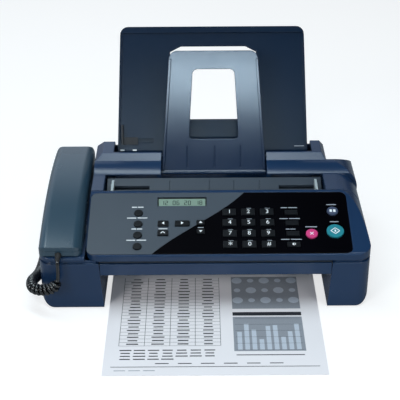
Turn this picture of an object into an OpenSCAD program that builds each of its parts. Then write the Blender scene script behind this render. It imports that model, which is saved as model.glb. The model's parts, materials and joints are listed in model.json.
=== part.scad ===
// Desktop fax machine with a corded handset, in millimetres.
// +X is to the right, +Y to the back, +Z up; the origin is on the table, under the
// middle of the whole footprint. The paper path is a little right of that middle.

/* [Casing] */
// Width of the casing between the cradle and the document recess
left_land = 13; // [12:0.5:14]
// Width of the casing right of the document recess
right_land = 39; // [37:0.5:41]
// Depth of the lower casing
base_d = 192; // [190:1:200]
// Height of the lower casing's rim
base_h = 54; // [52:0.5:56]
// Height of the groove between the lower and the upper casing
groove_h = 3; // [2:0.5:4]
// Wall thickness of the casings
wall = 2.5; // [2:0.1:3]
// Plan radius of the lower casing's corners
corner_r = 14; // [10:1:18]
// Radius along the bottom edges at both sides
belly_r = 13; // [8:1:16]
// Height of the casing above the table, on its feet
foot_gap = 1.5; // [1:0.1:3]
// Radius of a rubber foot
foot_r = 8; // [5:1:10]
// Gap round the parts that open
door_gap = 1; // [0.8:0.1:1.3]
// Gap between neighbouring pieces that are fixed together
fit = 0.2; // [0.1:0.05:0.3]

/* [Upper casing] */
// Height of the flat top
top_h = 89.5; // [88:0.5:92]
// Height of the control panel's front edge
panel_front_h = 65; // [64:0.5:67]
// Depth of the control panel in plan
panel_d = 85.44; // [84:0.1:87]
// Radius of the right shoulder
shoulder_r = 26; // [20:1:30]
// Height of the rear slope's lower edge above the seam
rear_low = 14; // [12:1:18]
// Plan radius of the lid's front corners
lid_corner_r = 14; // [8:1:18]
// Width of the handset cradle
cradle_w = 48; // [47:0.5:50]
// Rise of the ridge behind the recess above the flat top
ridge_rise = 6.5; // [5.5:0.5:7]
// Depth of the ridge's arched front
ridge_run = 18.5; // [17:0.5:20]
// Height of the paper support's mouth above the ridge
mouth_rise = 6; // [5:0.5:7]

/* [Paper path] */
// Widest sheet
sheet_w = 216; // [210:0.5:217]
// Space in the document recess beside the widest sheet
recess_side = 10; // [9:0.5:12]
// Depth of the open recess behind the control panel
recess_d = 36; // [34:1:38]
// Thickness of the document bed
bed_t = 2.5; // [2:0.1:3]
// Height of the bed's front edge
bed_front_h = 54.5; // [54:0.1:55]
// Depth of the bed's back edge below the flat top
recess_depth = 13; // [12.5:0.5:14]
// Depth of the ramp's upper edge below the flat top
ramp_depth = 4.3; // [4.3:0.1:5]
// Space in the front bay beside the widest sheet, at the table
bay_side = 6.5; // [5.5:0.5:8.5]
// Spread of each bay wall from the table to the rim
bay_flare = 3.5; // [2:0.5:4]
// Depth of the front bay
bay_d = 100; // [98:1:102]
// Height of the clear opening under the front bar
opening_h = 40.6; // [40:0.1:42]

/* [Paper support] */
// Width at the bottom
tray_w = 215; // [212:1:217]
// Width at the top
tray_top_w = 205; // [196:1:210]
// Length above the mouth
tray_l = 139; // [125:1:150]
// Lean from upright
tray_lean = 25; // [24:0.5:26]
// Thickness of the plate
tray_t = 3; // [2.5:0.1:3.5]
// Radius of the top corners
tray_r = 9; // [5:1:14]
// Width of the window
window_w = 96; // [90:1:100]
// Bottom of the window above the mouth
window_low = 36; // [34:1:44]
// Top of the window above the mouth
window_high = 117; // [112:1:120]
// Travel of the paper guide
paper_guide_travel = 30; // [20:1:40]

/* [Document support] */
// Width at the bottom
support_w = 114; // [110:1:116]
// Width at the top
support_top_w = 97; // [90:1:100]
// Length
support_l = 130; // [118:1:132]
// Lean from upright
support_lean = 22; // [21:0.5:23]
// Thickness
support_t = 4; // [3.5:0.1:4.5]
// Radius of the top corners
support_r = 9; // [5:1:12]
// Bottom of the opening above the lower edge
grip_low = 34; // [32:1:38]
// Top of the opening above the lower edge
grip_high = 110; // [104:1:114]
// Half width of the opening at its bottom
grip_half_low = 27; // [24:0.5:29]
// Half width of the opening at its top
grip_half_high = 23; // [20:0.5:24]

/* [Handset] */
// Width of the handset
handset_w = 44; // [42:0.5:45]
// Length of the handset
handset_l = 189; // [186:1:190]
// Wall of the handset's shells
handset_wall = 2; // [1.5:0.1:2.5]
// Radius of the handset's upper edges
handset_edge_r = 9; // [6:0.5:12]
// Plan radius of the handset's corners
handset_corner_r = 9; // [6:0.5:12]
// Depth of the cradle's floor below the handset
cradle_gap = 0.3; // [0.3:0.05:0.5]

/* [Control panel] */
// Depth of the control panel along its slope
panel_l = 88; // [87:0.5:89]
// Width of the casing right of the faceplate
plate_side = 19; // [18:0.5:22]
// Thickness of the faceplate
plate_t = 1; // [0.8:0.1:1.2]
// Thickness of the lid's top under the faceplate
deck_t = 1.5; // [1.2:0.1:1.8]
// Corner radius of the faceplate
plate_r = 7; // [4:1:10]
// Height of a key above the faceplate
key_rise = 1.5; // [1:0.1:2]
// Travel of a key
key_travel = 1; // [0.8:0.1:1.2]
// Clearance round a key
key_gap = 0.3; // [0.25:0.05:0.4]
// Pitch of the number keys along X
pad_pitch_x = 19.5; // [18:0.5:20.5]
// Pitch of the number keys up the slope
pad_pitch_s = 15; // [14:0.5:15.5]
// Width of a number key
pad_key_w = 14; // [11:0.5:15]
// Depth of a number key
pad_key_d = 8.5; // [7:0.5:9]
// Diameter of a function key
function_key_d = 8.5; // [7:0.5:10]
// Diameter of the cancel key
cancel_key_d = 12; // [10:0.5:13]
// Diameter of the copy key
copy_key_d = 11.5; // [10:0.5:13]
// Diameter of the start key
start_key_d = 17.5; // [15:0.5:19]
// Width of the display window
lcd_w = 51.5; // [46:0.5:53]
// Depth of the display window
lcd_d = 13; // [11:0.5:14]

/* [Mechanism] */
// Radius of the exit roller's rubber rings
exit_r = 5; // [4.5:0.1:5]
// Radius of the feed roller's rubber rings
feed_r = 6.7; // [6:0.1:6.9]
// Radius of the roller shafts
shaft_r = 2.5; // [2:0.1:2.8]
// Radius of the carriage rod
rod_r = 4; // [3.5:0.1:4.2]
// Radial running clearance of shafts and pins
running = 0.06; // [0.04:0.01:0.08]
// Thickness of the chassis plates
chassis_t = 1.5; // [1.2:0.1:2]
// Length of the carriage along the rod
carriage_w = 52; // [44:1:60]
// Radius of the belt pulleys
pulley_r = 6; // [5:0.5:7]
// Radius of the carriage motor
motor_r = 11; // [9:0.5:12]
// Length of the printed sheet
sheet_l = 279; // [270:1:282]
// Thickness of the printed sheet
sheet_t = 0.3; // [0.3:0.05:0.4]
// How far the sheet reaches in front of the casing
sheet_out = 109.4; // [100:0.1:115]
// Height of the sheet at the exit rollers
sheet_exit_h = 38; // [37.8:0.1:38.4]

/* [Cord] */
// Diameter of the straight lead
lead_d = 4; // [3:0.1:4.5]
// Outer diameter of the coiled stretch
curl_d = 12; // [10:0.5:12]

/* [Hidden] */
PAD_NAMES = ["1", "2", "3", "4", "5", "6", "7", "8", "9", "star", "0", "hash"];
$fn = 48;
eps = 0.01;
far = 600;

navy = [0.17, 0.24, 0.37];
slate = [0.31, 0.37, 0.44];
gloss_black = [0.03, 0.03, 0.035];
dark = [0.08, 0.09, 0.11];
light_grey = [0.62, 0.68, 0.7];
steel = [0.66, 0.68, 0.7];

// Casing planes
recess_w = sheet_w + 2 * recess_side;
bay_w = sheet_w + 2 * bay_side;
body_w = cradle_w + left_land + recess_w + right_land;
left_x = -body_w / 2;
right_x = body_w / 2;
front_y = -base_d / 2;
back_y = base_d / 2;
seam_h = base_h + groove_h;
lid_left_x = left_x + cradle_w;
path_x = lid_left_x + left_land + recess_w / 2;

// Control panel: the plane rises from its front edge to the flat top
panel_y = front_y + 2;
panel_slope = atan((top_h - panel_front_h) / panel_d);
panel_end_y = panel_y + panel_d;
deck_z = -plate_t - deck_t;

// Document bed: the plane rises from the exit slot to the hinge
bed_front_y = front_y + wall + fit;
recess_end_y = panel_end_y + recess_d;
bed_back_y = recess_end_y + 6;
bed_back_h = top_h - recess_depth;
bed_run = bed_back_y - bed_front_y;
bed_slope = atan((bed_back_h - bed_front_h) / bed_run);
bed_l = bed_run / cos(bed_slope);
recess_left_x = path_x - recess_w / 2;
recess_right_x = path_x + recess_w / 2;
pin_r = 2.5;
hinge_y = bed_back_y + 1;
hinge_z = bed_back_h + 1.5;
hinge_pin_l = 5;

// Ridge behind the recess: an arch that rises from the flat top, and a slope down to the back
ridge_y = recess_end_y + ridge_run;
ridge_h = top_h + ridge_rise;
ridge_lip_t = 1.2;
ridge_r = (pow(ridge_run, 2) + pow(ridge_rise, 2)) / (2 * ridge_rise);

// Raised mouth of the paper support
mouth_top_y = ridge_y + 8;
mouth_h = ridge_h + mouth_rise;
mouth_front_y = mouth_top_y + 2.5;
gap_back_y = recess_end_y + 30;
tray_y = recess_end_y + 49;
tray_z = top_h + 2.5;
tray_sunk = 22;

// Document support, carried by two pins at its foot
support_y = recess_end_y + 16.5;
support_z = top_h - 3.5;
support_pin_drop = 3;
support_pin_r = 2;
support_gap_w = support_w + 1.6;

// Front bay and mechanism
bay_back_y = front_y + bay_d;
bay_top_w = bay_w + 2 * bay_flare;
exit_y = bay_back_y + 8;
exit_z = sheet_exit_h - exit_r - sheet_t;
feed_y = exit_y + 52;
feed_z = sheet_exit_h - feed_r - sheet_t;
rod_y = exit_y + 36;
rod_z = top_h - 29.5;
belt_z = rod_z;
belt_y = rod_y + 21;
chassis_left_x = path_x - sheet_w / 2 - 3;
chassis_right_x = path_x + sheet_w / 2 + 5;
chassis_floor = foot_gap + wall + fit;
chassis_h = rod_z;
pod_right_x = path_x + bay_top_w / 2 + wall;
pod_left_x = path_x - bay_top_w / 2 - wall;

// Keys: [x, distance up the slope]
pad_x = right_x - 142.3;
pad_s = 11;
function_x = lid_left_x + 51.7;
function_s = 9.3;
function_pitch = 15.4;
side_x = right_x - 78;
side_pitch = 14.8;
side_s = 10.6;
menu_x = lid_left_x + 77.4;
menu_places = [
  [menu_x, 40.5], [menu_x, 27.3], [menu_x + 19.6, 40.5], [menu_x + 38.6, 41.5], [menu_x + 38.6, 29]
];
menu_sizes = [[10.5, 7], [10.5, 7], [14.5, 7], [8, 6], [8, 6]];
cancel_place = [right_x - 58.8, 25];
copy_place = [right_x - 35.1, 56.5];
start_place = [right_x - 34.7, 28.4];
lcd_place = [lid_left_x + 96.7, 72.5];
flange = 0.8;
board_z = deck_z - 2.5;
board_t = 1.4;

// Handset in its cradle
handset_x = left_x + 0.5 + handset_w / 2;
handset_front_y = front_y + 1;
handset_back_y = handset_front_y + handset_l;
mouth_cap_h = 62;
ear_cap_h = 70;

// Route of the coiled cord: [x, y, z, radius]
lead_r = lead_d / 2;
curl_r = curl_d / 2;
cord_route = [
  [-147, -95.3, 65], [-147, -98.5, 64.7], [-147, -101.5, 63], [-147, -103.5, 60],
  [-147, -104.2, 55], [-147.2, -104.6, 48], [-148, -105, 41], [-149.5, -105.5, 37],
  [-153, -106, 33], [-160, -106.3, 30.5], [-168, -104.5, 29.3], [-174, -99.5, 28.6],
  [-177, -91, 27], [-178, -80, 24], [-177.6, -68, 19], [-176.8, -55, 13.8],
  [-176, -40, 9.5], [-175.6, -24, 7.2], [-175.4, -8, 6.4], [-175.4, 10, 6.3], [-175.4, 28, 6.3],
  [-175.4, 44, 6.6], [-175.2, 53, 8.5], [-174.8, 59.5, 11.2], [-173.6, 64.8, 13.8],
  [-171, 68, 15.5], [-167.5, 69, 16], [-161, 69, 16]
];
curl_from = 7;
curl_to = 22;
jack_y = 69;
jack_z = 16;
cord_sides = 10;

// Points of an arc, as a part of an outline
function arc(cx, cy, r, a0, a1, n = 8) =
  [for (i = [0:n]) let (a = a0 + (a1 - a0) * i / n) [cx + r * cos(a), cy + r * sin(a)]];

// Point of a cubic curve through four handles
function cubic(p, t) = pow(1 - t, 3) * p[0] + 3 * t * pow(1 - t, 2) * p[1]
  + 3 * t * t * (1 - t) * p[2] + pow(t, 3) * p[3];

// Plate outline that narrows upwards, with round top corners
function taper_outline(low_w, high_w, low_y, high_y, r) = concat(
  [[-low_w / 2, low_y], [low_w / 2, low_y]],
  arc(high_w / 2 - r, high_y - r, r, 0, 90),
  arc(-high_w / 2 + r, high_y - r, r, 90, 180)
);

// Extrusions of an outline in the YZ plane along X and in the XZ plane along Y
module along_x(x0, x1) {
  translate([x0, 0, 0]) rotate([90, 0, 90]) linear_extrude(x1 - x0) children();
}

module along_y(y0, y1) {
  translate([0, y1, 0]) rotate([90, 0, 0]) linear_extrude(y1 - y0) children();
}

module box(lo, hi) {
  translate(lo) cube(hi - lo);
}

// Cylinder along X
module rod_x(x0, x1, y, z, r) {
  translate([x0, y, z]) rotate([0, 90, 0]) cylinder(r = r, h = x1 - x0);
}

// Frames of the sloping panel and of the document bed
module on_panel(x, s, z = 0) {
  translate([0, panel_y, panel_front_h]) rotate([panel_slope, 0, 0]) translate([x, s, z]) children();
}

module on_bed(x, s, z = 0) {
  translate([0, bed_front_y, bed_front_h]) rotate([bed_slope, 0, 0]) translate([x, s, z]) children();
}

module on_tray(z = 0) {
  translate([path_x - 1, tray_y, tray_z]) rotate([90 - tray_lean, 0, 0]) translate([0, 0, z]) children();
}

module on_support(z = 0) {
  translate([path_x, support_y, support_z]) rotate([90 - support_lean, 0, 0]) translate([0, 0, z]) children();
}

// Rectangle with round corners, from its low to its high corner
module round_rect(lo, hi, r) {
  translate([lo[0] + r, lo[1]]) square([hi[0] - lo[0] - 2 * r, hi[1] - lo[1]]);
  translate([lo[0], lo[1] + r]) square([hi[0] - lo[0], hi[1] - lo[1] - 2 * r]);
  for (x = [lo[0] + r, hi[0] - r], y = [lo[1] + r, hi[1] - r]) translate([x, y]) circle(r);
}

// Whole upper casing, smaller by an inset on every side, from z0 up
module upper_form(inset, z0) {
  x0 = lid_left_x + inset;
  x1 = right_x - inset;
  y0 = front_y + inset;
  top = top_h - inset;
  drop = inset / cos(panel_slope);
  intersection() {
    union() {
      shoulder_cut(inset, z0, top_h) polygon([
        [y0, z0], [y0, panel_front_h - 2 - drop], [panel_y + inset / 4, panel_front_h - drop],
        [panel_end_y, top], [ridge_y, top], [ridge_y, z0]
      ]);
      shoulder_cut(inset, z0, ridge_h) polygon(concat(
        [[recess_end_y + 4, z0]],
        [for (i = [0:10]) let (a = ridge_angle(inset) + (90 - ridge_angle(inset)) * i / 10)
          [ridge_y - (ridge_r - inset) * cos(a), ridge_h - ridge_r + (ridge_r - inset) * sin(a)]],
        [[ridge_y + 2 - inset / 3, ridge_h - inset], [back_y - 9 - inset * 0.8, seam_h + rear_low - inset / 2]],
        [[back_y - inset, seam_h + 2], [back_y - inset, z0]]
      ));
    }
    translate([0, 0, z0]) linear_extrude(ridge_h - z0 + 1)
      round_rect([x0, y0], [x1, back_y - inset], lid_corner_r - inset);
  }
}

// Where the ridge's arch meets the flat top
function ridge_angle(inset) = asin((top_h - inset - ridge_h + ridge_r) / (ridge_r - inset));

// Outline in the YZ plane across the upper casing, cut by the round right shoulder
module shoulder_cut(inset, z0, high) {
  x0 = lid_left_x + inset;
  x1 = right_x - inset;
  intersection() {
    along_x(x0, x1) children();
    along_y(front_y, back_y) union() {
      translate([x0, z0]) square([right_x - shoulder_r - x0, high - inset - z0]);
      translate([x0, z0]) square([x1 - x0, high - shoulder_r - z0]);
      translate([right_x - shoulder_r, high - shoulder_r]) circle(shoulder_r - inset, $fn = 96);
    }
  }
}

// Slope lines used by the lid and the bed
function bed_z(y) = bed_front_h + (y - bed_front_y) * tan(bed_slope);
ramp_y0 = panel_end_y - 3;
ramp_y1 = recess_end_y - 0.85;
function ramp_z(y) = bed_z(ramp_y0) + (y - ramp_y0) * (top_h - ramp_depth - bed_z(ramp_y0)) / (ramp_y1 - ramp_y0);

module front_bay(grow = 0) {
  along_y(front_y - 1, bay_back_y + grow) translate([path_x, 0]) polygon([
    [-bay_w / 2 - grow, -1], [bay_w / 2 + grow, -1],
    [bay_top_w / 2 + grow, base_h + 1], [-bay_top_w / 2 - grow, base_h + 1]
  ]);
}

module base_form(inset, z0) {
  intersection() {
    translate([0, 0, z0]) linear_extrude(base_h - z0 + (inset > 0 ? 1 : 0))
      round_rect([left_x + inset, front_y + inset], [right_x - inset, back_y - inset], corner_r - inset);
    along_y(front_y, back_y) {
      translate([left_x + inset, z0 + belly_r - inset])
        square([body_w - 2 * inset, base_h - z0 - belly_r + inset + 2]);
      translate([left_x + belly_r, z0]) square([body_w - 2 * belly_r, base_h - z0]);
      for (x = [left_x + belly_r, right_x - belly_r])
        translate([x, z0 + belly_r - inset]) circle(belly_r - inset);
    }
  }
}

foot_x = body_w / 2 - belly_r - foot_r - 1;
foot_y = base_d / 2 - 16;
foot_sunk = 0.6;
groove_d = 2;
board_floor = 11;
board_x0 = pod_right_x + 2;
board_x1 = right_x - wall - 3;
board_y0 = front_y + 20;
board_y1 = back_y - 16;
socket_x = (board_x0 + board_x1) / 2;
socket_half = (board_x1 - board_x0) / 2 - 5.5;
line_x = pod_left_x - 20;

module base_shell() color(navy) difference() {
  union() {
    difference() {
      base_form(0, foot_gap);
      difference() {
        base_form(wall, foot_gap + wall);
        front_bay(wall);
      }
      front_bay();
    }
    // Ring in the groove that the upper casing stands on
    difference() {
      translate([0, 0, base_h - 8]) linear_extrude(8 + groove_h - 0.3) difference() {
        round_rect([left_x + groove_d, front_y + groove_d], [right_x - groove_d, back_y - groove_d], corner_r - groove_d);
        round_rect([left_x + wall + 1.5, front_y + wall + 1.5], [right_x - wall - 1.5, back_y - wall - 1.5],
          corner_r - wall - 1.5);
      }
      front_bay(wall);
      box([path_x - bay_top_w / 2 - wall, front_y - 1, 0], [path_x + bay_top_w / 2 + wall, front_y + 20, far]);
    }
    // Posts under the main board
    for (x = [board_x0 + 4, board_x1 - 4], y = [board_y0 + 5, board_y1 - 5])
      translate([x, y, foot_gap + wall - eps]) cylinder(r = 2.5, h = board_floor - foot_gap - wall - fit);
    // Housing of the handset jack
    box([left_x + wall - eps, jack_y - 6, foot_gap + wall - eps], [left_x + 12, jack_y + 6, jack_z + 6]);
    // Block of the two line jacks
    box([line_x - 16, back_y - wall - 12, foot_gap + wall - eps], [line_x + 16, back_y - wall + eps, 31]);
  }
  // Window of the sheet above the bay's back wall
  box([path_x - bay_w / 2 + 3, bay_back_y - 1, 24], [path_x + bay_w / 2 - 3, bay_back_y + wall + 1, base_h + 1]);
  // Sockets in the feet's pads
  for (x = [-foot_x, foot_x], y = [-foot_y, foot_y])
    translate([x, y, -1]) cylinder(r = foot_r + fit, h = foot_gap + foot_sunk + 1);
  // Socket of the cord's end
  rod_x(left_x - 1, left_x + 10, jack_y, jack_z, lead_r + 0.3);
  // Mains inlet and two line jacks in the back wall
  box([socket_x - socket_half - 0.5, back_y - wall - 1, 18], [socket_x + socket_half + 0.5, back_y + 1, 31]);
  for (x = [line_x - 8, line_x + 8])
    box([x - 6, back_y - wall - 10, 18], [x + 6, back_y + 1, 29]);
}

module rubber_feet() color(dark)
  for (x = [-foot_x, foot_x], y = [-foot_y, foot_y])
    translate([x, y, 0]) cylinder(r = foot_r, h = foot_gap + foot_sunk - fit);

// Fixed upper casing behind the lid
mouth_left_x = lid_left_x;
mouth_right_x = path_x + 124;
rear_front_y = panel_end_y + door_gap;

module mouth_block(inset) {
  intersection() {
    along_x(mouth_left_x, mouth_right_x) polygon([
      [ridge_y + inset, seam_h], [ridge_y + inset, ridge_h - inset / 2],
      [mouth_top_y + inset / 2, mouth_h - inset], [back_y - 14, mouth_h - inset],
      [back_y - 1 - inset, mouth_h - 26], [back_y - 1 - inset, seam_h]
    ]);
    along_y(ridge_y, back_y) polygon([
      [mouth_left_x + inset, seam_h], [mouth_left_x + inset, ridge_h - 1],
      [mouth_left_x + 8 + inset / 2, mouth_h - inset], [mouth_right_x - 5 - inset / 2, mouth_h - inset],
      [mouth_right_x - inset, ridge_h - 1], [mouth_right_x - inset, seam_h]
    ]);
  }
}

module rear_housing() color(navy) difference() {
  union() {
    difference() {
      union() {
        upper_form(0, seam_h);
        mouth_block(0);
      }
      difference() {
        union() {
          upper_form(wall, seam_h - 1);
          mouth_block(wall);
        }
        // Walls at both sides of the recess, in front of the blank paper and behind the document support
        for (x = [recess_left_x - wall, recess_right_x])
          box([x, rear_front_y, seam_h - 2], [x + wall, gap_back_y + wall, mouth_h]);
        for (x = [[recess_left_x, path_x - support_gap_w / 2 - 4], [path_x + support_gap_w / 2 + 4, recess_right_x]])
          box([x[0], mouth_top_y, rear_rib_h - wall], [x[1], mouth_top_y + wall, mouth_h]);
        box([path_x - support_gap_w / 2 - 5, gap_back_y, rear_rib_h - wall],
          [path_x + support_gap_w / 2 + 5, gap_back_y + wall, mouth_h]);
        box([lid_left_x, rear_front_y, seam_h - 2], [recess_left_x, rear_front_y + wall, top_h]);
        box([recess_right_x, rear_front_y, seam_h - 2], [right_x, rear_front_y + wall, top_h]);
        // Cheeks that hold the document support's pins
        for (x = [path_x - support_gap_w / 2 - 5, path_x + support_gap_w / 2])
          box([x, support_y - 4, top_h - 16], [x + 5, gap_back_y + 1, mouth_h]);
      }
    }
    // Shelf that the paper support's foot stands on
    box([recess_left_x - 1, mouth_top_y + 1, rear_rib_h - wall], [recess_right_x + 1, tray_y - 7, rear_rib_h]);
  }
  // Everything in front of the seam
  box([-far, -far, -1], [far, rear_front_y, far]);
  // Open recess, and the gap for the document support
  box([recess_left_x, rear_front_y - 1, seam_h - 2], [recess_right_x, recess_end_y, far]);
  box([path_x - support_gap_w / 2, recess_end_y - 1, seam_h - 2],
    [path_x + support_gap_w / 2, gap_back_y, far]);
  // Paper mouth
  box([path_x - tray_w / 2 - 3, mouth_front_y, mouth_h - wall - 3], [path_x + tray_w / 2 + 1, tray_y + 9, far]);
  // Bores of the lid's hinge pins and of the document support's pins
  rod_x(recess_left_x - wall - 1, recess_right_x + wall + 1, hinge_y, hinge_z, pin_r + running);
  // Thin lip over the ramp, which swings up with the lid
  box([recess_left_x, recess_end_y - 1, seam_h + 4], [recess_right_x, recess_end_y + wall, top_h - ridge_lip_t]);
  on_support() translate([-support_gap_w / 2 - 6, -support_pin_drop, -support_t / 2])
    rotate([0, 90, 0]) cylinder(r = support_pin_r + running, h = support_gap_w + 12);
}
rear_rib_h = tray_z - tray_sunk * cos(tray_lean) - tray_t * sin(tray_lean) - fit;

module cradle_side(inset) {
  polygon([
    [front_y + inset, seam_h - (inset > 0 ? 1 : 0)], [front_y + inset, mouth_cap_h - cradle_gap - 1.4 - inset],
    [front_y + 2 + inset / 2, mouth_cap_h - cradle_gap - inset], [-49 + inset, mouth_cap_h - cradle_gap - inset],
    [-42 + inset / 2, 67.5 - inset], [34 - inset / 2, 74 - inset],
    [42.5 - inset, ear_cap_h - cradle_gap - inset], [back_y - 8, ear_cap_h - cradle_gap - inset],
    [back_y - inset, ear_cap_h - 8 - inset], [back_y - inset, seam_h - (inset > 0 ? 1 : 0)]
  ]);
}

plunger_y = 66;
plunger_r = 3;
module cradle_form(inset) {
  x0 = left_x + inset;
  x1 = lid_left_x - door_gap - inset;
  intersection() {
    along_x(x0, x1) cradle_side(inset);
    translate([0, 0, seam_h - 2]) linear_extrude(40) {
      translate([x0 + 20, front_y]) square([x1 - x0 - 20, base_d]);
      round_rect([x0, front_y + inset], [x1, back_y - inset], corner_r - inset);
    }
  }
}

module cradle() color(navy) difference() {
  union() {
    difference() {
      cradle_form(0);
      cradle_form(wall);
    }
    // Guide tube of the hook plunger
    translate([handset_x, plunger_y, seam_h]) cylinder(r = plunger_r + 2, h = ear_cap_h - 1.5 - seam_h);
  }
  translate([handset_x, plunger_y, 0]) cylinder(r = plunger_r + running, h = far);
}

module hook_plunger() color(light_grey)
  translate([handset_x, plunger_y, seam_h + 0.5])
    cylinder(r = plunger_r, h = ear_cap_h - cradle_gap - seam_h - 0.5);

// Handset: lower shell and upper cover, parted along a slanted plane
module handset_side(inset) {
  k = inset / 2;
  polygon([
    [handset_front_y + inset, mouth_cap_h + 1.5 + k], [handset_front_y + 1.5 + k, mouth_cap_h + inset],
    [-50 - k, mouth_cap_h + inset], [-43 - k, 69 + inset], [33 + k, 76 + inset], [43 + k, ear_cap_h + inset],
    [handset_back_y - 6 - k, ear_cap_h + inset], [handset_back_y - inset, ear_cap_h + 6 + k],
    [handset_back_y - inset, 87.5 - k], [handset_back_y - 6 - inset, 94 - k],
    [handset_back_y - 6 - inset, 98], [handset_front_y + inset, 98]
  ]);
}

module handset_form(inset) {
  x0 = handset_x - handset_w / 2 + inset;
  x1 = handset_x + handset_w / 2 - inset;
  r = handset_corner_r - inset;
  intersection() {
    along_x(x0, x1) handset_side(inset);
    translate([0, 0, 50]) linear_extrude(60)
      round_rect([x0, handset_front_y + inset], [x1, handset_back_y - inset], r);
    handset_rounding(inset, x0, x1);
  }
}

// Arched top with round edges: a ring about an axis far below
module handset_rounding(inset, x0, x1) {
  e = handset_edge_r - inset;
  r = arch_r - inset;
  translate([0, arch_y, arch_top - arch_r]) rotate([0, 90, 0]) rotate_extrude($fn = 720) {
    translate([r - 60, x0]) square([60 - e, x1 - x0]);
    translate([r - 60, x0 + e]) square([60, x1 - x0 - 2 * e]);
    for (x = [x0 + e, x1 - e]) translate([r - e, x]) circle(e);
  }
}
arch_r = 400;
arch_y = 36;
arch_top = 95.6;

module below_seam(shift) {
  along_x(-far, far) polygon([
    [handset_front_y - 5, 0], [handset_front_y - 5, 68 + shift],
    [handset_back_y + 5, 82 + shift], [handset_back_y + 5, 0]
  ]);
}

module handset_shell() color(navy) difference() {
  intersection() {
    difference() {
      handset_form(0);
      handset_form(handset_wall);
    }
    below_seam(0);
  }
  // Socket of the cord
  translate([cord_route[0][0], handset_front_y + handset_wall + 1, cord_route[0][2]])
    rotate([90, 0, 0]) cylinder(r = lead_r + 0.3, h = 10);
}

module handset_cover() color(slate) difference() {
  handset_form(0);
  handset_form(handset_wall);
  below_seam(0.1);
}

// Lid: control panel housing, open towards the bed
module panel_housing() color(navy) difference() {
  intersection() {
    upper_form(0, seam_h);
    box([-far, -far, 0], [far, panel_end_y, far]);
  }
  // Hollow up to the deck, closed by a back wall above the bed, with ribs beside the bed
  difference() {
    intersection() {
      upper_form(wall, seam_h - 1);
      box([-far, -far, 0], [far, panel_end_y - wall, far]);
    }
    for (x = [path_x - bed_side - fit - 2, path_x + bed_side + fit])
      along_x(x, x + 2) polygon([
        [-80, seam_h - 2], [panel_end_y + 1, seam_h - 2], [panel_end_y + 1, top_h - 9.5], [-80, seam_h + 3]
      ]);
  }
  // Back wall hollowed so that it clears the rear casing as the lid swings up
  rod_x(-far, far, hinge_y, hinge_z, norm([hinge_y - rear_front_y + 0.35, top_h - hinge_z]));
  // Passage of the document under the back wall
  box([recess_left_x - 0.5, panel_end_y - 20, 0],
    [recess_right_x + 0.5, panel_end_y + 1, bed_z(panel_end_y) + 3]);
  // Seat of the faceplates, display window and key holes
  on_panel(0, 0) translate([0, 0, -plate_t]) linear_extrude(10) plate_outline(fit);
  panel_holes(key_gap, deck_z - 2);
  on_panel(lcd_place[0], lcd_place[1], deck_z - 2) linear_extrude(10) square([lcd_w, lcd_d], center = true);
}

plate_x0 = lid_left_x + 1;
plate_w = right_x - plate_side - plate_x0;
module plate_outline(grow) {
  round_rect([plate_x0 - grow, -0.5 - grow], [plate_x0 + plate_w + grow, panel_l - 3 + grow], plate_r);
}

// Every key's hole through the panel
module panel_holes(gap, z0) {
  on_panel(0, 0, z0) linear_extrude(10) {
    for (i = [0:3]) translate([function_x, function_s + function_pitch * i]) circle(function_key_d / 2 + gap);
    for (i = [0:4]) translate(menu_places[i]) square(menu_sizes[i] + [2, 2] * gap, center = true);
    for (c = [0:2], r = [0:3]) translate([pad_x + pad_pitch_x * c, pad_s + pad_pitch_s * r])
      square([pad_key_w + 2 * gap, pad_key_d + 2 * gap], center = true);
    for (i = [0:3]) translate([side_x, side_s + side_pitch * i]) square(side_size + [2, 2] * gap, center = true);
    translate(cancel_place) circle(cancel_key_d / 2 + gap);
    translate(copy_place) circle(copy_key_d / 2 + gap);
    translate(start_place) circle(start_key_d / 2 + gap);
  }
}
side_size = [13, 6];

// Curved border between the slate and the gloss part of the faceplate
border_x = [lid_left_x + 62, lid_left_x + 92, lid_left_x + 142, lid_left_x + 168.5];
border_s = [-6, 31, 54, 94];
module gloss_side(shift) {
  polygon(concat(
    [for (i = [0:16]) [cubic(border_x, i / 16) + shift, cubic(border_s, i / 16)]],
    [[right_x + 20, 94], [right_x + 20, -6]]
  ));
}

module faceplate_cuts() {
  panel_holes(key_gap, -5);
  on_panel(lcd_place[0], lcd_place[1], -5) linear_extrude(10) square([lcd_w, lcd_d], center = true);
}

module slate_faceplate() color(slate) difference() {
  on_panel(0, 0, -plate_t) linear_extrude(plate_t) difference() {
    plate_outline(0);
    gloss_side(-0.1);
  }
  faceplate_cuts();
}

module gloss_faceplate() color(gloss_black) difference() {
  on_panel(0, 0, -plate_t) linear_extrude(plate_t) intersection() {
    plate_outline(0);
    gloss_side(0.1);
  }
  faceplate_cuts();
}

module front_bar() color(navy) {
  x0 = path_x - bay_top_w / 2 + door_gap;
  x1 = path_x + bay_top_w / 2 - door_gap;
  box([x0, front_y, opening_h], [x1, front_y + wall, base_h - 0.3]);
  box([x0, front_y + wall - eps, opening_h], [x1, front_y + 14, opening_h + 2]);
  for (x = [x0 + 2, (x0 + x1) / 2, x1 - 4])
    box([x, front_y + wall - eps, opening_h], [x + 2, front_y + 14, bed_front_h - bed_t - fit]);
}

bed_side = recess_w / 2 - door_gap;
rack_gap = 5;
guide_back_s = bed_l - 15.6;
guide_slot_s = guide_back_s - rack_gap;
rack_t = 1.5;
rack_w = 4;
rack_over = 5;
guide_inner = sheet_w / 2;
guide_travel = 37;
guide_t = 4;
roller_s = 79;
roller_r = 4.5;
roller_h = roller_r + 0.35;
scan_s = 46;

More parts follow.
